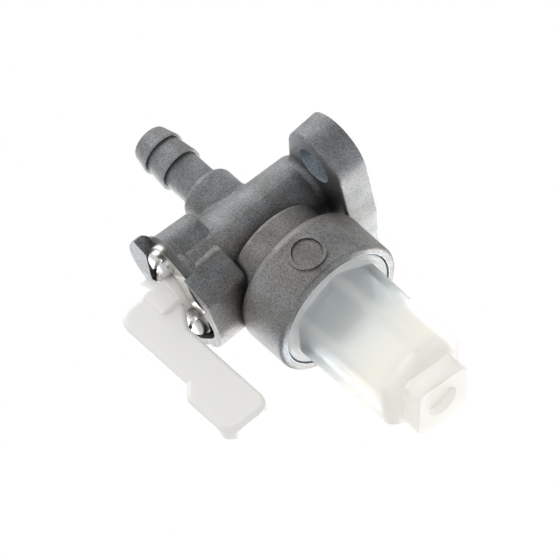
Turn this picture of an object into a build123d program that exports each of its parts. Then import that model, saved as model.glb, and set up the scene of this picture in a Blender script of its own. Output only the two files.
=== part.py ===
from build123d import *
import os
from math import cos, degrees, pi, radians, sin

# Fuel tap, in millimetres. Origin: centre of the flange's rear face, between its bolts.
# -Y runs to the front, where the lever is; the bowl hangs down along -Z.

# Stations along the valve axis, measured forwards from the flange's rear face
flange_thickness = 5.5
bowl_axis_depth = 16.8
head_back_depth = 24.8
boss_back_depth = 23.9
plate_seat_drop = 2.15
head_front_depth = 33.25

# The valve axis runs above the flange's centre, and the head is clocked about it
valve_axis_height = 3.45
clock_deg = 17.0

# Flange
flange_mid_radius = 7.5
flange_lobe_radius = 6.45
flange_hole_pitch = 21.7
flange_hole_radius = 3.3
flange_edge_round = 0.6
flange_draft_deg = 2.5
inlet_radius = 3.0
inlet_depth = 5.0
flange_groove_radius = 4.3
flange_groove_width = 1.2
flange_groove_depth = 1.2

# Barrel
barrel_rear_depth = 3.4
barrel_rear_round = 2.0
barrel_rear_radius = 6.5
barrel_front_radius = 7.53
barrel_root_round = 1.3

# Head
hub_radius = 7.9
hub_core_radius = 6.6
hub_shoulder = (6.6, -0.7)
hub_shoulder_radius = 1.3
hub_corner = (6.4, -5.6)
hub_corner_radius = 1.5
head_back_round = 0.6
ear_radius = 5.0
ear_centre = 6.0
ear_thickness = 2.3
ear_floor_radius = 4.0
ear_floor_thickness = 1.3
ear_back_round = 0.8
boss_back_radius = 3.6
boss_front_radius = 4.15
boss_back_round = 0.7
rim_wall = 1.7
hub_pocket_radius = 6.1
window_inner = 2.4
window_corner = (8.5, 0.5)
window_foot = (5.3, -6.6)
valve_bore_radius = 3.6
valve_bore_depth = 6.9

# Hose barb
barb_top = 24.85
barb_boss_radius = 4.85
barb_boss_top = 11.5
barb_boss_round = 1.1
barb_boss_root_round = 1.0
barb_stem_root_round = 0.45
barb_stem_radius = 3.4
barb_ridge_radius = 3.93
barb_ridge_back_radius = 3.5
barb_tip_radius = 3.15
barb_tip_round = 0.55
barb_ridge_heights = (17.1, 21.35)
barb_ridge_land = 0.35
barb_bore_radius = 2.25

# Neck and bell
neck_radius = 9.5
neck_top = 4.9
neck_edge_round = 0.9
neck_root_round = 0.5
bell_radius = 12.2
bell_top = 10.1
bell_bottom = 20.5
bell_shoulder_round = 2.0
bell_rim_round = 0.7
bell_bore_radius = 10.75
bell_roof = 11.6
badge_radius = 3.15
badge_ring_width = 0.55
badge_stand = 0.25
badge_drop = 15.7
badge_turn_deg = 4.5

# Outlet stub inside the bell, which carries the filter
stub_radius = 3.2
stub_length = 4.0
stub_root = 0.5
stub_bore_radius = 2.0

# Bowl
thread_clearance = 0.3
bowl_top = 13.4
bowl_collar_bottom = 20.3
bowl_inner_radius = 6.9
bowl_corner_radius = 9.4
bowl_corner_round = 2.6
bowl_taper_deg = 1.3
bowl_shoulder_bottom = 41.4
bowl_shoulder_round = 2.2
bowl_end = 45.1
bowl_floor = 38.6
bowl_turn_deg = -27.0
spanner_flats = 9.85
spanner_corner_cut = 0.9
spanner_turn_deg = 8.5
spanner_recess_radius = 2.8
spanner_recess_depth = 1.6

# Bowl seal
seal_inner_radius = 8.2
seal_thickness = 1.6
seal_gap = 0.1

# Filter
filter_radius = 5.0
filter_bottom = 19.6
filter_top_gap = 0.4
filter_ring_height = 2.2
filter_cap_height = 1.2
filter_rib_width = 1.1
filter_rib_count = 4
screen_thickness = 0.25
screen_inset = 0.35
push_fit_gap = 0.02

# Valve and lever
gasket_thickness = 1.5
gasket_gap = 0.1
gasket_port_radius = 0.9
gasket_port_offset = 1.8
running_clearance = 0.07
stem_radius = 3.1
shoulder_gap = 0.1
o_ring_section = 0.45
o_ring_gap = 0.03
o_ring_drop = 2.2
lever_screw_gap = 0.35
lever_width = 7.1
lever_hub_step = 2.4
lever_hub_length = 4.1
lever_hub_thickness = 4.3
lever_hub_foot = 3.4
lever_arm_foot = 7.0
lever_thickness = 3.2
lever_length = 26.8
lever_heel = 2.8
lever_heel_round = 2.9
lever_edge_round = 0.9
lever_tab_step = 2.1
lever_tab_start = 14.4
lever_tab_ramp = 2.2
lever_tab_round = 1.6
lever_tip_round = 2.6
lever_hub_round = 1.0
tail_radius = 6.6
tail_thickness = 1.9
tail_width = 5.0
tail_turn_deg = 28.0
tail_corner_radius = 2.25

# Plates and screws
screw_across = 3.4
screw_up = 4.7
screw_radius = 1.5
screw_depth = 4.6
screw_tip_gap = 0.4
screw_hole_gap = 0.02
screw_head_radius = 2.4
screw_head_height = 1.6
screw_head_round = 1.0
screw_slot_width = 0.7
screw_slot_depth = 0.8
plate_end_radius = 2.8
plate_mid_radius = 5.7
plate_side_gap = 0.15
plate_hole_gap = 0.3
cover_thickness = 0.5
spring_thickness = 0.5
spring_bow = 0.9
spring_flat_gap = 0.1
lug_radius = 4.3
lug_width = 1.6
lug_height = 1.5
lug_sweep_deg = 90.0
lug_side_gap_deg = 4.0

# How far a cut or a blank runs past the faces that it crosses
overshoot = 1.0


def clock_plane(depth):
    """A plane across the valve axis, seen from the front and turned to the clock angle."""
    turn = radians(clock_deg)
    origin = (0, -depth, valve_axis_height)
    return Plane(origin=origin, x_dir=(cos(turn), 0, -sin(turn)), z_dir=(0, -1, 0))


def front_plane(depth):
    """A plane across the valve axis with its x to the right and its y straight up."""
    return Plane(origin=(0, -depth, valve_axis_height), x_dir=(1, 0, 0), z_dir=(0, -1, 0))


def flange_plane(depth):
    """A plane like the front plane, but about the flange's own centre."""
    return Plane(origin=(0, -depth, 0), x_dir=(1, 0, 0), z_dir=(0, -1, 0))


def bowl_plane(height, turn_deg=0.0):
    """A plane across the bowl axis at a height from the valve axis, its x turned from the front."""
    turn = radians(turn_deg)
    origin = (0, -bowl_axis_depth, valve_axis_height + height)
    return Plane(origin=origin, x_dir=(sin(turn), -cos(turn), 0), z_dir=(0, 0, 1))


def bowl_disc(radius, low, high):
    """A cylinder about the bowl axis between two heights."""
    return bowl_plane(low) * extrude(Circle(radius), high - low)


def lobed_outline(mid_radius, *lobes):
    """The closed outline that a belt makes round a middle circle and lobes of x, y and radius."""
    edges = Circle(mid_radius).edges()
    for x, y, radius in lobes:
        edges += (Pos(x, y) * Circle(radius)).edges()
    return make_hull(edges)


def flange_outline():
    """The flange's outline: a lobe round each bolt hole, drawn in to the middle."""
    half = flange_hole_pitch / 2
    return lobed_outline(flange_mid_radius, (half, 0, flange_lobe_radius), (-half, 0, flange_lobe_radius))


def flange():
    """The two-hole flange with draft on its edge, without its holes."""
    plate = extrude(flange_plane(0) * flange_outline(), flange_thickness, taper=flange_draft_deg)
    front_edges = plate.faces().sort_by(Axis.Y)[0].edges()
    return fillet(front_edges, flange_edge_round)


def barrel():
    """The barrel on the valve axis, widening a little from the flange to the plate seat."""
    end = head_front_depth - plate_seat_drop
    profile = [(0, barrel_rear_depth), (barrel_rear_radius, barrel_rear_depth),
               (barrel_rear_radius, flange_thickness), (barrel_front_radius, end), (0, end)]
    solid = revolve(Plane.XY * Polygon(*[(r, -d) for r, d in profile], align=None), Axis.Y)
    solid = fillet(solid.edges().sort_by(Axis.Y)[-1], barrel_rear_round)
    return Pos(0, 0, valve_axis_height) * solid


def barrel_root():
    """The hollow round that leads from the flange's face up the barrel."""
    wide = barrel_rear_radius + barrel_root_round
    start = flange_thickness - barrel_rear_round
    foot = flange_thickness + barrel_root_round
    middle = barrel_root_round * (1 - cos(pi / 4))
    path = Polyline((0, -start), (wide, -start), (wide, -flange_thickness))
    arc_middle = (barrel_rear_radius + middle, -flange_thickness - middle)
    path += ThreePointArc((wide, -flange_thickness), arc_middle, (barrel_rear_radius, -foot))
    path += Polyline((barrel_rear_radius, -foot), (0, -foot), (0, -start))
    flare = Pos(0, 0, valve_axis_height) * revolve(make_face(path), Axis.Y)
    inset = flange_edge_round
    outline = offset(flange_outline(), -inset)
    return flare & extrude(flange_plane(0) * outline, foot)


def screw_boss(side, back_depth):
    """The boss that a plate screw goes into, wider towards the front, on one side."""
    place = Pos(side * screw_across, side * screw_up)
    back = clock_plane(back_depth) * (place * Circle(boss_back_radius))
    front = clock_plane(head_front_depth) * (place * Circle(boss_front_radius))
    boss = loft([back, front])
    return fillet(boss.edges().sort_by(Axis.Y)[-1], boss_back_round)


def upper_ear(radius, thickness):
    """A slab behind the head's front with the upper ear's outline, its back edge rounded."""
    outline = lobed_outline(hub_radius, (0, ear_centre, radius))
    slab = extrude(clock_plane(head_front_depth - thickness) * outline, thickness)
    return fillet(slab.faces().sort_by(Axis.Y)[-1].edges(), ear_back_round)


def head():
    """The valve head: a hub with a deep lower ear, a thin upper ear and two screw bosses."""
    length = head_front_depth - head_back_depth
    shoulder = (*hub_shoulder, hub_shoulder_radius)
    corner = (*hub_corner, hub_corner_radius)
    far_side = (hub_core_radius - hub_radius, 0, hub_core_radius)
    deep = lobed_outline(hub_core_radius, far_side, (0, -ear_centre, ear_radius), shoulder, corner)
    hub = extrude(clock_plane(head_back_depth) * deep, length)
    hub = fillet(hub.faces().sort_by(Axis.Y)[-1].edges(), head_back_round)
    rim = upper_ear(ear_radius, ear_thickness)
    floor = upper_ear(ear_floor_radius, plate_seat_drop + ear_floor_thickness)
    bosses = screw_boss(1, boss_back_depth) + screw_boss(-1, head_back_depth)
    return hub + rim + floor + bosses


def barb_profile():
    """Half section of the hose barb, as radius and height, up to its tip."""
    lower, upper = barb_ridge_heights
    points = [(0, 0), (barb_stem_radius, 0), (barb_stem_radius, lower)]
    points += [(barb_ridge_radius, lower), (barb_ridge_radius, lower + barb_ridge_land)]
    points += [(barb_ridge_back_radius, upper), (barb_ridge_radius, upper)]
    points += [(barb_ridge_radius, upper + barb_ridge_land), (barb_tip_radius, barb_top), (0, barb_top)]
    return points


def circle_edge(solid, radius, height):
    """The level round edge of a radius whose height is nearest to the one asked for."""
    rounds = [e for e in solid.edges().filter_by(GeomType.CIRCLE) if abs(e.radius - radius) < 0.01]
    return min(rounds, key=lambda e: abs(e.center(CenterOf.BOUNDING_BOX).Z - height))


def barb():
    """The hose barb on its boss, both about the bowl axis."""
    face = Plane.XZ * Polygon(*barb_profile(), align=None)
    stem = revolve(face, Axis.Z)
    boss = extrude(Circle(barb_boss_radius), barb_boss_top)
    boss = fillet(boss.edges().sort_by(Axis.Z)[-1], barb_boss_round)
    solid = stem + boss
    solid = fillet(circle_edge(solid, barb_stem_radius, barb_boss_top), barb_stem_root_round)
    solid = fillet(circle_edge(solid, barb_tip_radius, barb_top), barb_tip_round)
    return Pos(0, -bowl_axis_depth, valve_axis_height) * solid


def bell():
    """The neck and the bell that the bowl screws into, still solid inside."""
    neck = bowl_disc(neck_radius, -bell_top - overshoot, -neck_top)
    neck = fillet(neck.edges().sort_by(Axis.Z)[-1], neck_edge_round)
    cup = bowl_disc(bell_radius, -bell_bottom, -bell_top)
    cup = fillet(cup.edges().sort_by(Axis.Z)[-1], bell_shoulder_round)
    cup = fillet(cup.edges().sort_by(Axis.Z)[0], bell_rim_round)
    solid = neck + cup
    root = circle_edge(solid, neck_radius, valve_axis_height - bell_top)
    return fillet(root, neck_root_round)


def badge():
    """A bare round ring, standing a little from the bell's side."""
    turn = radians(badge_turn_deg)
    origin = (0, -bowl_axis_depth, valve_axis_height - badge_drop)
    start = Plane(origin=origin, z_dir=(cos(turn), -sin(turn), 0))
    ring = Circle(badge_radius) - Circle(badge_radius - badge_ring_width)
    outer = bowl_disc(bell_radius + badge_stand, -bell_bottom, -bell_top)
    return extrude(start * ring, bell_radius + overshoot) & outer


def head_pocket():
    """What is cut from the head: the plate seat, its side window and the valve bore."""
    seat_depth = head_front_depth - plate_seat_drop
    lobe = ear_radius - rim_wall
    end = plate_end_radius + plate_side_gap
    lobes = [(0, -ear_centre, lobe), (screw_across, screw_up, end), (-screw_across, -screw_up, end)]
    pocket = lobed_outline(hub_pocket_radius, *lobes)
    cut = extrude(clock_plane(seat_depth) * pocket, plate_seat_drop + overshoot)
    outside = hub_radius + ear_radius
    window = Polygon((window_inner, outside), (window_inner, window_foot[1]), window_foot,
                     window_corner, (outside, window_corner[1]), (outside, outside), align=None)
    cut += extrude(clock_plane(seat_depth) * window, plate_seat_drop + overshoot)
    cut += extrude(clock_plane(seat_depth - valve_bore_depth) * Circle(valve_bore_radius), valve_bore_depth)
    return cut


def screw_places(depth):
    """The two plate screws, at opposite corners of the seat."""
    plane = clock_plane(depth)
    return [plane * Pos(side * screw_across, side * screw_up) for side in (1, -1)]


def boss_root(body):
    """The round edge where the barb's boss rises from the barrel."""
    level = valve_axis_height + barrel_front_radius
    middle = Vector(0, -bowl_axis_depth, level)
    return min(body.edges(), key=lambda e: (e.center(CenterOf.BOUNDING_BOX) - middle).length)


def tap_body():
    """The die-cast body: flange, barrel, head, barb, neck and bell in one piece."""
    body = barrel() + barb()
    body = fillet(boss_root(body), barb_boss_root_round)
    body = body + flange() + barrel_root() + head() + bell() + badge()
    for side in (1, -1):
        hole = Pos(side * flange_hole_pitch / 2, 0) * Circle(flange_hole_radius)
        body -= extrude(flange_plane(-overshoot) * hole, flange_thickness + 2 * overshoot)
    body -= extrude(flange_plane(-overshoot) * Circle(inlet_radius), inlet_depth + overshoot)
    ring = Circle(flange_groove_radius + flange_groove_width) - Circle(flange_groove_radius)
    body -= extrude(flange_plane(-overshoot) * ring, flange_groove_depth + overshoot)
    body -= head_pocket()
    screw_hole_depth = screw_depth + screw_tip_gap
    for place in screw_places(head_front_depth - plate_seat_drop - screw_hole_depth):
        body -= place * extrude(Circle(screw_radius + screw_hole_gap), screw_hole_depth)
    body -= bowl_disc(bell_bore_radius, -bell_bottom - overshoot, -bell_roof)
    body += bowl_disc(stub_radius, -bell_roof - stub_length, -bell_roof + stub_root)
    body -= bowl_disc(stub_bore_radius, -bell_roof - stub_length - overshoot, 0)
    body -= bowl_disc(barb_bore_radius, 0, barb_top + overshoot)
    return body


def bowl_hexagon(height, corner_radius):
    """The bowl's six-sided section, with rounded corners."""
    plane = bowl_plane(height, bowl_turn_deg)
    section = RegularPolygon(corner_radius, 6)
    return plane * fillet(section.vertices(), bowl_corner_round)


def spanner_square(height):
    """The square end that a spanner turns, its corners cut."""
    plane = bowl_plane(height, spanner_turn_deg)
    section = Rectangle(spanner_flats, spanner_flats)
    return plane * chamfer(section.vertices(), spanner_corner_cut)


def bowl():
    """The moulded bowl: round collar, six-sided wall, shoulder and square spanner end."""
    collar = bowl_disc(bell_bore_radius - thread_clearance, -bowl_collar_bottom, -bowl_top)
    wall_length = bowl_shoulder_bottom - bowl_collar_bottom
    wall_end_corner = bowl_corner_radius - wall_length * sin(radians(bowl_taper_deg))
    wall = loft([bowl_hexagon(-bowl_collar_bottom, bowl_corner_radius),
                 bowl_hexagon(-bowl_shoulder_bottom, wall_end_corner)])
    wall = fillet(wall.faces().sort_by(Axis.Z)[0].edges(), bowl_shoulder_round)
    square = extrude(spanner_square(-bowl_end), bowl_end - bowl_floor)
    solid = collar + wall + square
    solid -= bowl_disc(bowl_inner_radius, -bowl_floor, -bowl_top + overshoot)
    solid -= bowl_disc(spanner_recess_radius, -bowl_end - overshoot, -bowl_end + spanner_recess_depth)
    return solid


def bowl_seal():
    """The flat ring that the bowl's top edge presses against the bell's roof."""
    top = -bowl_top + seal_gap + seal_thickness
    ring = bowl_disc(bell_bore_radius - thread_clearance, top - seal_thickness, top)
    return ring - bowl_disc(seal_inner_radius, top - seal_thickness - overshoot, top + overshoot)


def filter_cage():
    """The moulded cage: a collar pushed on the outlet stub, ribs and an end cap."""
    top = -bell_roof - filter_top_gap
    collar = bowl_disc(filter_radius, top - filter_ring_height, top)
    collar -= bowl_disc(stub_radius + push_fit_gap, top - filter_ring_height - overshoot, top + overshoot)
    cap = bowl_disc(filter_radius, -filter_bottom, -filter_bottom + filter_cap_height)
    cage = collar + cap
    rib_depth = screen_inset + 2 * screen_thickness
    rib_height = filter_bottom + top - 2 * filter_cap_height
    for index in range(filter_rib_count):
        place = bowl_plane(-filter_bottom, index * 360 / filter_rib_count)
        section = Pos(filter_radius - rib_depth / 2, 0) * Rectangle(rib_depth, filter_rib_width)
        cage += extrude(place * section, rib_height + filter_cap_height)
    return cage - screen_ring(push_fit_gap)


def screen_ring(gap=0.0):
    """The gauze tube's space between the cage's collar and its cap."""
    outer = filter_radius - screen_inset
    low = -filter_bottom + filter_cap_height / 2
    high = -bell_roof - filter_top_gap - filter_ring_height / 2
    ring = bowl_disc(outer + gap, low, high)
    return ring - bowl_disc(outer - screen_thickness - gap, low - overshoot, high + overshoot)


def flange_seal():
    """The rubber ring in the flange's rear groove."""
    inner = flange_groove_radius + gasket_gap
    ring = Circle(inner + flange_groove_width - 2 * gasket_gap) - Circle(inner)
    return extrude(flange_plane(0) * ring, flange_groove_depth)


def valve_gasket():
    """The ported rubber disc at the bottom of the valve bore."""
    floor_depth = head_front_depth - plate_seat_drop - valve_bore_depth
    section = Circle(valve_bore_radius - push_fit_gap)
    for side in (1, -1):
        section -= Pos(0, side * gasket_port_offset) * Circle(gasket_port_radius)
    return extrude(front_plane(floor_depth) * section, gasket_thickness)


def plate_outline():
    """The outline that the cover plate and the spring plate share."""
    ends = [(side * screw_across, side * screw_up, plate_end_radius) for side in (1, -1)]
    return lobed_outline(plate_mid_radius, *ends)


def cover_plate():
    """The flat plate on the seat, open round the lever's spigot."""
    depth = head_front_depth - plate_seat_drop
    section = plate_outline() - Circle(valve_bore_radius + plate_hole_gap)
    plate = extrude(clock_plane(depth) * section, cover_thickness)
    for place in screw_places(depth - overshoot):
        plate -= place * extrude(Circle(screw_radius + screw_hole_gap), cover_thickness + 2 * overshoot)
    return plate


def bow_slab():
    """A sheet bent into an arc between the two screws, wider than the plate."""
    half = (screw_across ** 2 + screw_up ** 2) ** 0.5
    reach = half + plate_end_radius + overshoot
    flat = half - screw_head_radius - spring_flat_gap
    lower = [(-reach, 0), (-flat, 0), (flat, 0), (reach, 0)]
    upper = [(x, spring_thickness) for x, _ in reversed(lower)]
    path = Line(lower[0], lower[1]) + ThreePointArc(lower[1], (0, spring_bow), lower[2])
    path += Line(lower[2], lower[3]) + Line(lower[3], upper[0]) + Line(upper[0], upper[1])
    path += ThreePointArc(upper[1], (0, spring_bow + spring_thickness), upper[2])
    path += Line(upper[2], upper[3]) + Line(upper[3], lower[0])
    return make_face(path)


def spring_plate():
    """The bowed plate that holds the lever in, notched for the lever's stop lug."""
    depth = head_front_depth - plate_seat_drop + cover_thickness
    turn = radians(clock_deg)
    across = Vector(cos(turn), 0, -sin(turn)) * screw_across
    along = (across + Vector(sin(turn), 0, cos(turn)) * screw_up).normalized()
    side = along.cross(Vector(0, -1, 0))
    plane = Plane(origin=(0, -depth, valve_axis_height), x_dir=along, z_dir=side)
    slab = extrude(plane * bow_slab(), 2 * plate_mid_radius, both=True)
    height = spring_bow + spring_thickness + 2 * overshoot
    blank = extrude(clock_plane(depth - overshoot) * plate_outline(), height + overshoot)
    middle = Circle(stem_radius + plate_hole_gap)
    blank -= extrude(front_plane(depth - overshoot) * middle, height + overshoot)
    blank -= extrude(front_plane(depth - overshoot) * lug_sector(plate_hole_gap), height + overshoot)
    for place in screw_places(depth - overshoot):
        blank -= place * extrude(Circle(screw_radius + screw_hole_gap), height + overshoot)
    return slab & blank


def lug_sector(gap=0.0):
    """The notch that the lever's lug sweeps, from its rest place through its travel."""
    half = degrees(lug_width / 2 / lug_radius) + lug_side_gap_deg
    arc = CenterArc((0, 0), lug_radius + gap, 90 - half, lug_sweep_deg + 2 * half)
    edges = arc + Line((0, 0), arc @ 0) + Line(arc @ 1, (0, 0))
    return make_face(edges)


def plate_screws():
    """The two slotted pan-head screws."""
    seat = head_front_depth - plate_seat_drop
    top = cover_thickness + spring_thickness
    screws = []
    for place in screw_places(seat):
        shank = extrude(Circle(screw_radius), -screw_depth) + extrude(Circle(screw_radius), top)
        head_disc = extrude(Pos(0, 0, top) * Circle(screw_head_radius), screw_head_height)
        head_disc = fillet(head_disc.edges().sort_by(Axis.Z)[-1], screw_head_round)
        slot_z = top + screw_head_height - screw_slot_depth / 2
        slot_length = 2 * screw_head_radius + overshoot
        slot = Pos(0, 0, slot_z) * Box(slot_length, screw_slot_width, screw_slot_depth)
        screws.append(place * (shank + head_disc - slot))
    return Compound(children=screws)


def shoulder_depth():
    """Where the lever's spigot ends, just under the spring plate."""
    return head_front_depth - plate_seat_drop + cover_thickness - shoulder_gap


def lever_back_depth():
    """Where the lever's hub ends, just in front of the screw heads."""
    seat = head_front_depth - plate_seat_drop + cover_thickness + spring_thickness
    return seat + screw_head_height + lever_screw_gap


def lever_outline():
    """The lever's flat side, as distance in front of the flange and drop below the axis."""
    back = lever_back_depth()
    arm = back + lever_hub_step
    front = arm + lever_width
    ramp = lever_tab_start + lever_tab_ramp
    points = [(back, -lever_heel), (front, -lever_heel), (front, lever_tab_start)]
    points += [(front + lever_tab_step, ramp), (front + lever_tab_step, lever_length)]
    points += [(arm, lever_length), (arm, lever_arm_foot), (back, lever_hub_foot)]
    return Plane.YZ * Polygon(*[(-d, valve_axis_height - z) for d, z in points], align=None)


def lever_arm():
    """The flat arm with its thumb step, its corners and edges rounded."""
    arm = extrude(lever_outline(), lever_thickness / 2, both=True)
    front = lever_back_depth() + lever_hub_step + lever_width
    cross_edges = arm.edges().filter_by(Axis.X)
    heel = cross_edges.sort_by_distance((0, -front, valve_axis_height + lever_heel))[0]
    arm = fillet(heel, lever_heel_round)
    arm = fillet(arm.edges().filter_by(Axis.X).sort_by(Axis.Z)[:2], lever_tip_round)
    step = (0, -front - lever_tab_step, valve_axis_height - lever_tab_start - lever_tab_ramp)
    arm = fillet(arm.edges().filter_by(Axis.X).sort_by_distance(step)[0], lever_tab_round)
    sides = [arm.faces().sort_by(Axis.X)[-1], arm.faces().sort_by(Axis.X)[0]]
    return fillet([edge for side in sides for edge in side.edges()], lever_edge_round)


def lever_hub():
    """The hub in front of the plates, flattened on the arm's two sides and rounded at its end."""
    section = Circle(stem_radius) & Rectangle(lever_hub_thickness, 2 * stem_radius)
    hub = extrude(front_plane(lever_back_depth()) * section, lever_hub_length)
    return fillet(hub.faces().sort_by(Axis.Y)[0].edges(), lever_hub_round)


def lever():
    """The moulded lever: spigot, stem, flat arm with a thumb step and a short tail."""
    seat = head_front_depth - plate_seat_drop
    bottom = seat - valve_bore_depth + gasket_thickness + gasket_gap
    spigot_radius = valve_bore_radius - running_clearance
    shoulder = shoulder_depth()
    spigot = extrude(front_plane(bottom) * Circle(spigot_radius), shoulder - bottom)
    stem = extrude(front_plane(shoulder) * Circle(stem_radius), lever_back_depth() - shoulder)
    groove = Circle(spigot_radius + overshoot) - Circle(spigot_radius - 2 * (o_ring_section + o_ring_gap))
    groove_width = 2 * (o_ring_section + gasket_gap)
    cut = extrude(front_plane(seat - o_ring_drop - groove_width / 2) * groove, groove_width)
    slot = Rectangle(2 * gasket_port_radius, 2 * (gasket_port_offset + gasket_port_radius))
    bridge = extrude(front_plane(bottom - overshoot) * slot, overshoot + gasket_port_radius)
    return lever_arm() + spigot - cut - bridge + stem + lever_hub() + tail() + stop_lug()


def tail():
    """The short wing opposite the arm."""
    wing = Pos(0, tail_radius / 2) * Rectangle(tail_width, tail_radius)
    solid = extrude(front_plane(lever_back_depth()) * (Rot(0, 0, tail_turn_deg) * wing), tail_thickness)
    above = (0, -lever_back_depth(), valve_axis_height + 2 * tail_radius)
    corners = solid.edges().filter_by(Axis.Y).sort_by_distance(above)[:2]
    return fillet(corners, tail_corner_radius)


def stop_lug():
    """The lug on the stem that travels in the spring plate's notch."""
    section = Pos(0, lug_radius / 2) * Rectangle(lug_width, lug_radius)
    return extrude(front_plane(shoulder_depth() + 2 * shoulder_gap) * section, lug_height)


def lever_o_ring():
    """The rubber ring in the spigot's groove."""
    middle = valve_bore_radius - running_clearance - o_ring_section - o_ring_gap
    return front_plane(head_front_depth - plate_seat_drop - o_ring_drop) * Torus(middle, o_ring_section)


def main():
    """Write each piece to its own STEP file."""
    pieces = {
        "tap_body": tap_body(), "flange_seal": flange_seal(), "valve_gasket": valve_gasket(),
        "lever": lever(), "lever_o_ring": lever_o_ring(), "cover_plate": cover_plate(),
        "spring_plate": spring_plate(), "plate_screws": plate_screws(), "bowl": bowl(),
        "bowl_seal": bowl_seal(), "filter_cage": filter_cage(), "filter_screen": screen_ring(),
    }
    os.makedirs("parts", exist_ok=True)
    for name, piece in pieces.items():
        export_step(piece, f"parts/{name}.step")


main()
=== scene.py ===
import bpy
from mathutils import Matrix, Vector


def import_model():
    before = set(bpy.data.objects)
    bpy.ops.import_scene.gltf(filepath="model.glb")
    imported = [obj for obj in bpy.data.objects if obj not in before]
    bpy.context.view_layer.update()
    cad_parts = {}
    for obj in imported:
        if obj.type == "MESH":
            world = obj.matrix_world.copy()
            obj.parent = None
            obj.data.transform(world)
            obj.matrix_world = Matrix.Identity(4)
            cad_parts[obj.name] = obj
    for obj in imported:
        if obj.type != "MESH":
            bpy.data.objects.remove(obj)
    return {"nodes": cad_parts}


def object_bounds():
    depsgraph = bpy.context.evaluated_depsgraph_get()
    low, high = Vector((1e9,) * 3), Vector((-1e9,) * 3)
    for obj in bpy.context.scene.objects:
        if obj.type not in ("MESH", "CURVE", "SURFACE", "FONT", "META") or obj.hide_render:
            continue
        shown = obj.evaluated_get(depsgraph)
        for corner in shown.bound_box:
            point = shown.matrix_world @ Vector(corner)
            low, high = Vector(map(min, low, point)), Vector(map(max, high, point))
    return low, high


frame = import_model()
CAD_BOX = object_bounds()

MM = 0.001

# The camera's axes in the model's frame, read from the rims' ellipses in the photograph
VIEW_RIGHT = Vector((-0.0919, 0.741, -0.665))
VIEW_UP = Vector((0.5471, 0.596, 0.588))
VIEW_DISTANCE = 2000 * MM
VIEW_NEAR = 0.01
VIEW_FAR = 20.0
PIXELS_PER_MM = 6.3
PHOTO_SIZE = 560
SENSOR_WIDTH_MM = 36.0

# Where the valve axis crosses the bowl axis, in the model and in the photograph
CROSSING = Vector((0, -16.8 * MM, 3.45 * MM))
CROSSING_PIXEL = (252.5, 232.9)

# What is cut clean in the casting: the flange's bolt holes, the bell's bore and the
# head's front face
BOLT_HOLE_X = 10.85 * MM
BOLT_HOLE_RADIUS = 3.3 * MM
FLANGE_FRONT_Y = -5.5 * MM
HEAD_FRONT_Y = -33.25 * MM
HEAD_FRONT_SHARE = 0.12
BELL_BORE_RADIUS = 10.75 * MM
BELL_ROOF_Z = CROSSING.z - 11.6 * MM
CUT_EDGE = 0.05 * MM

# The casting's colours: two clouds, two faint stains, painted shade in its corners, and the cut
# faces, bare metal made brighter with a painted bluish reflection
CAST_DARK = (0.2, 0.196, 0.189)
CAST_LIGHT = (0.283, 0.287, 0.294)
STAIN_WARM = (1.03, 0.995, 0.95)
STAIN_COOL = (0.965, 1.0, 1.025)
# Painted shade: the colour the casting is darkened to in its corners
CORNER_SHADE_TINT = (0.32, 0.3, 0.28)
# Cut faces are brighter bare metal, and this tint also adds a painted bluish reflection on them
CUT_METAL_AND_SHEEN_TINT = (2.3, 2.6, 2.9)

# How far the painted shade spreads from corners and wear from edges, and the rays that look for
# them
CORNER_SHADE_REACH = 9 * MM
WEAR_REACH = 0.5 * MM
OPENNESS_RAYS = 8

# The bowl: the radii where its corners start to thicken and are thickest, the heights of
# its collar's lower face and its floor, and how far the looks fade there
BOWL_THIN_RADIUS = 8.4 * MM
BOWL_THICK_RADIUS = 8.9 * MM
BOWL_COLLAR_Z = CROSSING.z - 20.3 * MM
BOWL_FLOOR_Z = CROSSING.z - 38.6 * MM
COLLAR_FADE = 0.6 * MM
FLOOR_FADE = 1.5 * MM
ROOT_TOP_Z = BOWL_COLLAR_Z - 3 * MM
ROOT_MILK_Z = BOWL_COLLAR_Z - 12 * MM
# The clear wall's painted bluish shade starts at this height, below the collar
ROOT_SHADE_Z = BOWL_COLLAR_Z - 10 * MM
ROOT_MILK = 0.42
COLLAR_RING_PITCH = 0.75 * MM
COLLAR_RING_START = BOWL_THICK_RADIUS + 0.3 * MM
COLLAR_RING_FULL = BOWL_THICK_RADIUS + 0.5 * MM

# The bowl's colours: its clear part, cream low down and a painted bluish shade near the collar,
# and its cloudy part's milk, which scatters light back, and glow, which lets it through
CLEAR_CREAM = (1.0, 0.968, 0.905)
# Painted shade: the clear wall turns this bluish near the collar, where the bell shades it
CLEAR_SHADE_BLUE = (0.87, 0.95, 1.0)
MILK_THIN = (0.84, 0.94, 1.0)
MILK_THICK = (0.88, 0.87, 0.845)
GLOW_THIN = (0.96, 0.95, 0.93)
GLOW_THICK = (0.84, 0.83, 0.8)

# How much of the bowl is cloudy, and how much of that is glow
THIN_CLOUDY_SHARE = 0.16
THICK_CLOUDY_SHARE = 0.62
COLLAR_CLOUDY_SHARE = 0.8
WALL_GLOW_SHARE = 0.65
COLLAR_GLOW_SHARE = 0.15

# The stage round the tap: the floor, the dark card and the sky
FLOOR_HALF = 3.0
FLOOR_DROP = 1.2
FLOOR_GLOW = 0.7
CARD_DISTANCE = 0.6
CARD_HALF = 0.45
SKY_TINT = (0.95, 0.97, 1.0)
SKY_STRENGTH = 0.88


def grey(level):
    """A grey as a colour."""
    return (level,) * 3


def put(tree, socket, value):
    """Give a socket a plain value, or join it to another node's output."""
    if isinstance(value, bpy.types.NodeSocket):
        tree.links.new(value, socket)
    elif socket.type == "RGBA":
        socket.default_value = (*value, 1.0)
    else:
        socket.default_value = value


def node_material(name):
    """A new material with its node tree emptied, and its surface output."""
    material = bpy.data.materials.new(name)
    material.use_nodes = True
    tree = material.node_tree
    tree.nodes.clear()
    output = tree.nodes.new("ShaderNodeOutputMaterial")
    return material, tree, output


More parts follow.
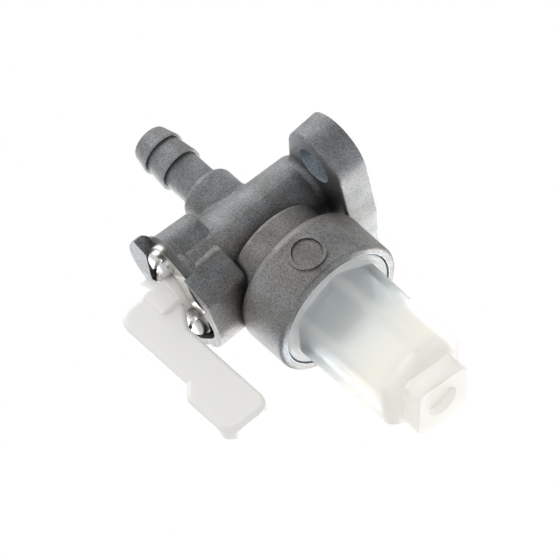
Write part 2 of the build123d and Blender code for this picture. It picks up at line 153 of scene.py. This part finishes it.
def principled(tree, color, roughness, metallic=0.0):
    """A Principled shader, its colour and roughness plain or from another node."""
    shader = tree.nodes.new("ShaderNodeBsdfPrincipled")
    put(tree, shader.inputs["Base Color"], color)
    put(tree, shader.inputs["Roughness"], roughness)
    shader.inputs["Metallic"].default_value = metallic
    return shader


def plain_material(name, color, roughness, metallic=0.0):
    """A new material of one Principled shader, with its tree and that shader."""
    material, tree, output = node_material(name)
    shader = principled(tree, color, roughness, metallic)
    tree.links.new(shader.outputs["BSDF"], output.inputs["Surface"])
    return material, tree, shader


def mixed(tree, share, first, second):
    """Two shaders mixed, by the second one's share."""
    node = tree.nodes.new("ShaderNodeMixShader")
    put(tree, node.inputs["Fac"], share)
    tree.links.new(first, node.inputs[1])
    tree.links.new(second, node.inputs[2])
    return node.outputs["Shader"]


def noise(tree, scale, detail=3.0, roughness=0.5):
    """Noise over the object's own coordinates, its scale in features per metre."""
    coordinates = tree.nodes.new("ShaderNodeTexCoord")
    texture = tree.nodes.new("ShaderNodeTexNoise")
    texture.inputs["Scale"].default_value = scale
    texture.inputs["Detail"].default_value = detail
    texture.inputs["Roughness"].default_value = roughness
    tree.links.new(coordinates.outputs["Object"], texture.inputs["Vector"])
    return texture.outputs["Fac"]


def ramp(tree, source, low_color, high_color, low=0.0, high=1.0):
    """A colour that goes from one to another between two values of its source."""
    node = tree.nodes.new("ShaderNodeValToRGB")
    node.color_ramp.elements[0].position = low
    node.color_ramp.elements[0].color = (*low_color, 1.0)
    node.color_ramp.elements[1].position = high
    node.color_ramp.elements[1].color = (*high_color, 1.0)
    tree.links.new(source, node.inputs["Fac"])
    return node.outputs["Color"]


def map_range(tree, source, low, high, to_low=0.0, to_high=1.0):
    """A value mapped from one range to another, kept within it."""
    node = tree.nodes.new("ShaderNodeMapRange")
    node.inputs["From Min"].default_value = low
    node.inputs["From Max"].default_value = high
    node.inputs["To Min"].default_value = to_low
    node.inputs["To Max"].default_value = to_high
    tree.links.new(source, node.inputs["Value"])
    return node.outputs["Result"]


def math_value(tree, operation, first, second=0.0):
    """What a Math node makes of one value, or of two."""
    node = tree.nodes.new("ShaderNodeMath")
    node.operation = operation
    put(tree, node.inputs[0], first)
    put(tree, node.inputs[1], second)
    return node.outputs["Value"]


def multiplied(tree, first, second):
    """Two colours multiplied."""
    node = tree.nodes.new("ShaderNodeMixRGB")
    node.blend_type = "MULTIPLY"
    node.inputs["Fac"].default_value = 1.0
    tree.links.new(first, node.inputs["Color1"])
    tree.links.new(second, node.inputs["Color2"])
    return node.outputs["Color"]


def bump(tree, shader, height, strength, distance):
    """Bump from a height, its distance in metres, added before what the shader already has."""
    node = tree.nodes.new("ShaderNodeBump")
    node.inputs["Strength"].default_value = strength
    node.inputs["Distance"].default_value = distance
    tree.links.new(height, node.inputs["Height"])
    if shader.inputs["Normal"].links:
        earlier = shader.inputs["Normal"].links[0].from_socket
        tree.links.new(earlier, node.inputs["Normal"])
    tree.links.new(node.outputs["Normal"], shader.inputs["Normal"])


def openness(tree, distance, inside=False):
    """How open the surface is: low in corners or, looked at from inside, low at sharp edges."""
    node = tree.nodes.new("ShaderNodeAmbientOcclusion")
    node.samples = OPENNESS_RAYS
    node.inside = inside
    node.only_local = True
    node.inputs["Distance"].default_value = distance
    return node.outputs["AO"]


def model_place(tree):
    """The surface's own X, Y and Z in the model."""
    coordinates = tree.nodes.new("ShaderNodeTexCoord")
    parts = tree.nodes.new("ShaderNodeSeparateXYZ")
    tree.links.new(coordinates.outputs["Object"], parts.inputs["Vector"])
    return parts.outputs


def radius_from(tree, across, along, centre):
    """Distance from an axis, from the two coordinates across it and the first one's centre."""
    flat = tree.nodes.new("ShaderNodeCombineXYZ")
    tree.links.new(math_value(tree, "SUBTRACT", across, centre), flat.inputs["X"])
    tree.links.new(along, flat.inputs["Y"])
    length = tree.nodes.new("ShaderNodeVectorMath")
    length.operation = "LENGTH"
    tree.links.new(flat.outputs["Vector"], length.inputs[0])
    return length.outputs["Value"]


def bowl_radius(tree, place):
    """Distance from the bowl axis."""
    return radius_from(tree, place["Y"], place["X"], CROSSING.y)


def hole_share(tree, place):
    """1 on the walls of the flange's bolt holes, 0 or less elsewhere."""
    side = math_value(tree, "ABSOLUTE", place["X"])
    radius = radius_from(tree, side, place["Z"], BOLT_HOLE_X)
    near = math_value(tree, "LESS_THAN", radius, BOLT_HOLE_RADIUS + CUT_EDGE)
    forward = math_value(tree, "LESS_THAN", place["Y"], FLANGE_FRONT_Y)
    return math_value(tree, "SUBTRACT", near, forward)


def bore_share(tree, place):
    """1 inside the bell, 0 elsewhere."""
    near = math_value(tree, "LESS_THAN", bowl_radius(tree, place), BELL_BORE_RADIUS + CUT_EDGE)
    low = math_value(tree, "LESS_THAN", place["Z"], BELL_ROOF_Z + CUT_EDGE)
    return math_value(tree, "MULTIPLY", near, low)


def machined(tree):
    """1 on the bolt holes' walls and inside the bell, little on the head's front, else 0."""
    place = model_place(tree)
    start = HEAD_FRONT_Y + 2 * CUT_EDGE
    front = map_range(tree, place["Y"], start, HEAD_FRONT_Y + CUT_EDGE, 0.0, HEAD_FRONT_SHARE)
    cut = math_value(tree, "MAXIMUM", hole_share(tree, place), bore_share(tree, place))
    return math_value(tree, "MAXIMUM", front, cut)


def cast_color(tree, grain, mottle):
    """The casting's colour: speckled and stained, with painted shade in its corners, and brighter
    where cut, as bare metal with a painted bluish reflection.
    """
    color = ramp(tree, mottle, CAST_DARK, CAST_LIGHT, low=0.3, high=0.7)
    stain = noise(tree, scale=75, detail=2.0)
    # Painted shade: the colour is darkened in corners and crevices, where shade falls
    corner_shade = openness(tree, CORNER_SHADE_REACH)
    worn = openness(tree, WEAR_REACH, inside=True)
    layers = (
        ramp(tree, grain, grey(0.55), grey(1.5), low=0.35, high=0.68),
        ramp(tree, stain, STAIN_WARM, STAIN_COOL, low=0.4, high=0.6),
        ramp(tree, corner_shade, CORNER_SHADE_TINT, grey(1.0), low=0.2, high=0.85),
        ramp(tree, worn, grey(1.25), grey(1.0), low=0.35, high=0.75),
        # Cut faces: brighter bare metal, with a painted bluish reflection on top
        ramp(tree, machined(tree), grey(1.0), CUT_METAL_AND_SHEEN_TINT),
    )
    for layer in layers:
        color = multiplied(tree, color, layer)
    return color


def cast_alloy():
    """Grey blasted die casting, with a fine grain."""
    material, tree, output = node_material("cast_alloy")
    grain = noise(tree, scale=3600, roughness=0.75)
    mottle = noise(tree, scale=260, roughness=0.55)
    roughness = ramp(tree, grain, grey(0.4), grey(0.58), low=0.3, high=0.7)
    shader = principled(tree, cast_color(tree, grain, mottle), roughness, metallic=0.85)
    bump(tree, shader, mottle, strength=0.3, distance=0.2 * MM)
    bump(tree, shader, grain, strength=0.9, distance=0.13 * MM)
    tree.links.new(shader.outputs["BSDF"], output.inputs["Surface"])
    return material


def white_nylon():
    """White satin moulding that lets a little light in."""
    material, tree, shader = plain_material("white_nylon", (0.85, 0.83, 0.79), roughness=0.42)
    shader.inputs["Subsurface Weight"].default_value = 0.35
    shader.inputs["Subsurface Radius"].default_value = (1.0, 0.9, 0.75)
    shader.inputs["Subsurface Scale"].default_value = 1.5 * MM
    bump(tree, shader, noise(tree, scale=1500), strength=0.08, distance=0.04 * MM)
    return material


def collar_share(tree, place):
    """1 on the bowl's collar, 0 below it."""
    return map_range(tree, place["Z"], BOWL_COLLAR_Z - COLLAR_FADE, BOWL_COLLAR_Z)


def bowl_thickness(tree, place, collar):
    """How thick the bowl looks: 0 at the flats, 1 at the corners, the collar and the solid end."""
    corner = map_range(tree, bowl_radius(tree, place), BOWL_THIN_RADIUS, BOWL_THICK_RADIUS)
    end = map_range(tree, place["Z"], BOWL_FLOOR_Z + FLOOR_FADE, BOWL_FLOOR_Z - FLOOR_FADE)
    root = map_range(tree, place["Z"], ROOT_MILK_Z, ROOT_TOP_Z, 0.0, ROOT_MILK)
    solid = math_value(tree, "MAXIMUM", end, math_value(tree, "MAXIMUM", collar, root))
    return math_value(tree, "MAXIMUM", corner, solid)


def collar_rings(tree, place):
    """Fine turned rings on the face of the bowl's collar, as a height from 0 to 1."""
    radius = bowl_radius(tree, place)
    turns = math_value(tree, "PINGPONG", radius, COLLAR_RING_PITCH / 2)
    height = map_range(tree, turns, 0.0, COLLAR_RING_PITCH / 2)
    outside = map_range(tree, radius, COLLAR_RING_START, COLLAR_RING_FULL)
    return math_value(tree, "MULTIPLY", height, outside)


def clear_wall(tree, place):
    """The clear part of the bowl, cream low down and with a painted bluish shade near its collar,
    where the bell shades it.
    """
    height = map_range(tree, place["Z"], ROOT_SHADE_Z, ROOT_TOP_Z)
    shader = principled(tree, ramp(tree, height, CLEAR_CREAM, CLEAR_SHADE_BLUE), roughness=0.36)
    shader.inputs["Transmission Weight"].default_value = 1.0
    shader.inputs["IOR"].default_value = 1.12
    return shader


def translucent(tree, color):
    """A shader that lights up from what shines on its far side."""
    shader = tree.nodes.new("ShaderNodeBsdfTranslucent")
    put(tree, shader.inputs["Color"], color)
    return shader.outputs["BSDF"]


def clear_nylon():
    """Milky moulding: clearer where its wall is thin, whiter where it is thick."""
    material, tree, output = node_material("clear_nylon")
    place = model_place(tree)
    collar = collar_share(tree, place)
    thickness = bowl_thickness(tree, place, collar)
    clear = clear_wall(tree, place)
    milk = principled(tree, ramp(tree, thickness, MILK_THIN, MILK_THICK), roughness=0.4)
    glow = translucent(tree, ramp(tree, thickness, GLOW_THIN, GLOW_THICK))
    skin = noise(tree, scale=900)
    rings = collar_rings(tree, place)
    for shader in (clear, milk):
        bump(tree, shader, skin, strength=0.08, distance=0.05 * MM)
        bump(tree, shader, rings, strength=0.6, distance=0.2 * MM)
    glow_share = map_range(tree, collar, 0.0, 1.0, WALL_GLOW_SHARE, COLLAR_GLOW_SHARE)
    cloudy = mixed(tree, glow_share, milk.outputs["BSDF"], glow)
    wall = map_range(tree, thickness, 0.0, 1.0, THIN_CLOUDY_SHARE, THICK_CLOUDY_SHARE)
    face = map_range(tree, collar, 0.0, 1.0, 0.0, COLLAR_CLOUDY_SHARE)
    cloudy_share = math_value(tree, "MAXIMUM", wall, face)
    surface = mixed(tree, cloudy_share, clear.outputs["BSDF"], cloudy)
    tree.links.new(surface, output.inputs["Surface"])
    return material


def sheet_steel():
    """Bright rolled sheet."""
    color = (0.82, 0.8, 0.76)
    material, tree, shader = plain_material("plate_steel", color, roughness=0.36, metallic=1.0)
    bump(tree, shader, noise(tree, scale=2500, detail=2.0), strength=0.15, distance=0.02 * MM)
    return material


def zinc_plate():
    """Bright zinc on the screws."""
    material, tree, output = node_material("screw_zinc")
    cloud = noise(tree, scale=1200, detail=2.0)
    roughness = ramp(tree, cloud, grey(0.24), grey(0.36), low=0.35, high=0.65)
    shader = principled(tree, (0.62, 0.615, 0.6), roughness, metallic=1.0)
    tree.links.new(shader.outputs["BSDF"], output.inputs["Surface"])
    return material


def seal_rubber():
    """Matt black rubber."""
    material, tree, shader = plain_material("seal_rubber", (0.025, 0.025, 0.026), roughness=0.6)
    bump(tree, shader, noise(tree, scale=3000, detail=2.0), strength=0.2, distance=0.03 * MM)
    return material


def filter_plastic(name, color):
    """Plastic of the filter, its colour painted dark as the shade inside the bell seen through the
    bowl.
    """
    material, tree, shader = plain_material(name, color, roughness=0.5)
    shader.inputs["Subsurface Weight"].default_value = 0.2
    shader.inputs["Subsurface Scale"].default_value = 1.0 * MM
    bump(tree, shader, noise(tree, scale=2500, detail=2.0), strength=0.1, distance=0.03 * MM)
    return material


def dress(node, material):
    """Give a CAD node its material."""
    slots = frame["nodes"][node].data.materials
    slots.clear()
    slots.append(material)


def dress_nodes():
    """Every CAD node's material."""
    rubber = seal_rubber()
    steel = sheet_steel()
    dress("tap_body", cast_alloy())
    dress("lever", white_nylon())
    dress("bowl", clear_nylon())
    dress("plate_screws", zinc_plate())
    # Painted shade: the filter is coloured near black to give the shade inside the bell seen
    # through the bowl
    dress("filter_cage", filter_plastic("filter_plastic", (0.06, 0.065, 0.07)))
    dress("filter_screen", filter_plastic("filter_gauze", (0.2, 0.22, 0.24)))
    for node in ("cover_plate", "spring_plate"):
        dress(node, steel)
    for node in ("flange_seal", "valve_gasket", "lever_o_ring", "bowl_seal"):
        dress(node, rubber)


def flat_square(name, half, material):
    """A level square round the origin."""
    mesh = bpy.data.meshes.new(name)
    corners = [(-half, -half, 0), (half, -half, 0), (half, half, 0), (-half, half, 0)]
    mesh.from_pydata(corners, [], [(0, 1, 2, 3)])
    mesh.materials.append(material)
    piece = bpy.data.objects.new(name, mesh)
    bpy.context.scene.collection.objects.link(piece)
    return piece


def floor_white():
    """The floor: white to the camera, and darker only where the tap shades it."""
    material, tree, output = node_material("floor_white")
    plain = principled(tree, grey(0.9), roughness=0.8)
    path = tree.nodes.new("ShaderNodeLightPath")
    glow = tree.nodes.new("ShaderNodeEmission")
    seen = math_value(tree, "MULTIPLY", path.outputs["Is Camera Ray"], FLOOR_GLOW)
    surface = mixed(tree, seen, plain.outputs["BSDF"], glow.outputs["Emission"])
    tree.links.new(surface, output.inputs["Surface"])
    return material


def floor():
    """A wide pale floor well below the tap, which hangs in the air as in the photograph."""
    piece = flat_square("floor", FLOOR_HALF, floor_white())
    piece.location.z = CAD_BOX[0].z - FLOOR_DROP


def toward(right, up, back):
    """A direction in the model, from its shares along the photograph's own axes."""
    way = VIEW_RIGHT * right + VIEW_UP * up + VIEW_RIGHT.cross(VIEW_UP) * back
    return way.normalized()


def dark_card():
    """The dark side of the light tent, where the camera looks in, seen only in gloss."""
    material = plain_material("card_black", grey(0.02), roughness=0.9)[0]
    piece = flat_square("dark_card", CARD_HALF, material)
    away = toward(right=-0.1, up=0.55, back=0.83)
    piece.location = CROSSING + away * CARD_DISTANCE
    piece.rotation_mode = "QUATERNION"
    piece.rotation_quaternion = away.to_track_quat("Z", "Y")
    piece.visible_camera = False
    piece.visible_transmission = False
    piece.visible_diffuse = False


def background(tree, color, strength):
    """A surround of one colour."""
    node = tree.nodes.new("ShaderNodeBackground")
    put(tree, node.inputs["Color"], color)
    node.inputs["Strength"].default_value = strength
    return node.outputs["Background"]


def world():
    """A white surround for what is seen and mirrored, and softer light for the rest."""
    surround = bpy.data.worlds.new("surround")
    bpy.context.scene.world = surround
    surround.use_nodes = True
    tree = surround.node_tree
    tree.nodes.clear()
    white = background(tree, grey(1.0), 1.0)
    sky = background(tree, SKY_TINT, SKY_STRENGTH)
    path = tree.nodes.new("ShaderNodeLightPath").outputs
    through = math_value(tree, "MAXIMUM", path["Is Camera Ray"], path["Is Transmission Ray"])
    seen = math_value(tree, "MAXIMUM", through, path["Is Glossy Ray"])
    output = tree.nodes.new("ShaderNodeOutputWorld")
    tree.links.new(mixed(tree, seen, sky, white), output.inputs["Surface"])


def area_light(name, away, power, size=0.35, distance=0.5, gloss_only=False):
    """A soft lamp that shines on the tap from a direction, on request only in its gloss."""
    lamp = bpy.data.lights.new(name, "AREA")
    lamp.shape = "DISK"
    lamp.size = size
    lamp.energy = power
    holder = bpy.data.objects.new(name, lamp)
    bpy.context.scene.collection.objects.link(holder)
    holder.location = CROSSING + away * distance
    holder.rotation_mode = "QUATERNION"
    holder.rotation_quaternion = away.to_track_quat("Z", "Y")
    holder.visible_diffuse = not gloss_only
    holder.visible_transmission = not gloss_only


def lights():
    """Soft lamps above, beside and behind the tap as the photograph sees it."""
    above = toward(right=-0.6, up=0.9, back=-0.1)
    behind = toward(right=0.61, up=-0.54, back=-0.58)
    beside = toward(right=0.8, up=-0.1, back=0.5)
    low = toward(right=-0.46, up=-0.37, back=-0.81)
    area_light("top_left", above, power=0.9)
    area_light("behind", behind, power=0.75)
    # Further off than the lamp before it, because a mirrored ray meets only one lamp in a place
    area_light("behind_gloss", behind, power=1.6, distance=0.55, gloss_only=True)
    area_light("right_gloss", beside, power=0.15, size=0.3, gloss_only=True)
    area_light("low_left", low, power=0.65, size=0.3)


def camera():
    """The camera at the photograph's angle, with its frame set by the crossing's pixel."""
    data = bpy.data.cameras.new("camera")
    holder = bpy.data.objects.new("camera", data)
    bpy.context.scene.collection.objects.link(holder)
    right = VIEW_RIGHT.normalized()
    up = (VIEW_UP - right * VIEW_UP.dot(right)).normalized()
    back = right.cross(up)
    middle = PHOTO_SIZE / 2
    aside = (middle - CROSSING_PIXEL[0]) / PIXELS_PER_MM * MM
    above = (CROSSING_PIXEL[1] - middle) / PIXELS_PER_MM * MM
    target = CROSSING + right * aside + up * above
    turn = Matrix((right, up, back)).transposed()
    holder.matrix_world = Matrix.Translation(target + back * VIEW_DISTANCE) @ turn.to_4x4()
    data.sensor_width = SENSOR_WIDTH_MM
    data.lens = PIXELS_PER_MM / MM * VIEW_DISTANCE * SENSOR_WIDTH_MM / PHOTO_SIZE
    data.clip_start = VIEW_NEAR
    data.clip_end = VIEW_FAR
    bpy.context.scene.camera = holder


bpy.context.scene.view_settings.view_transform = "Standard"
dress_nodes()
floor()
dark_card()
world()
lights()
camera()
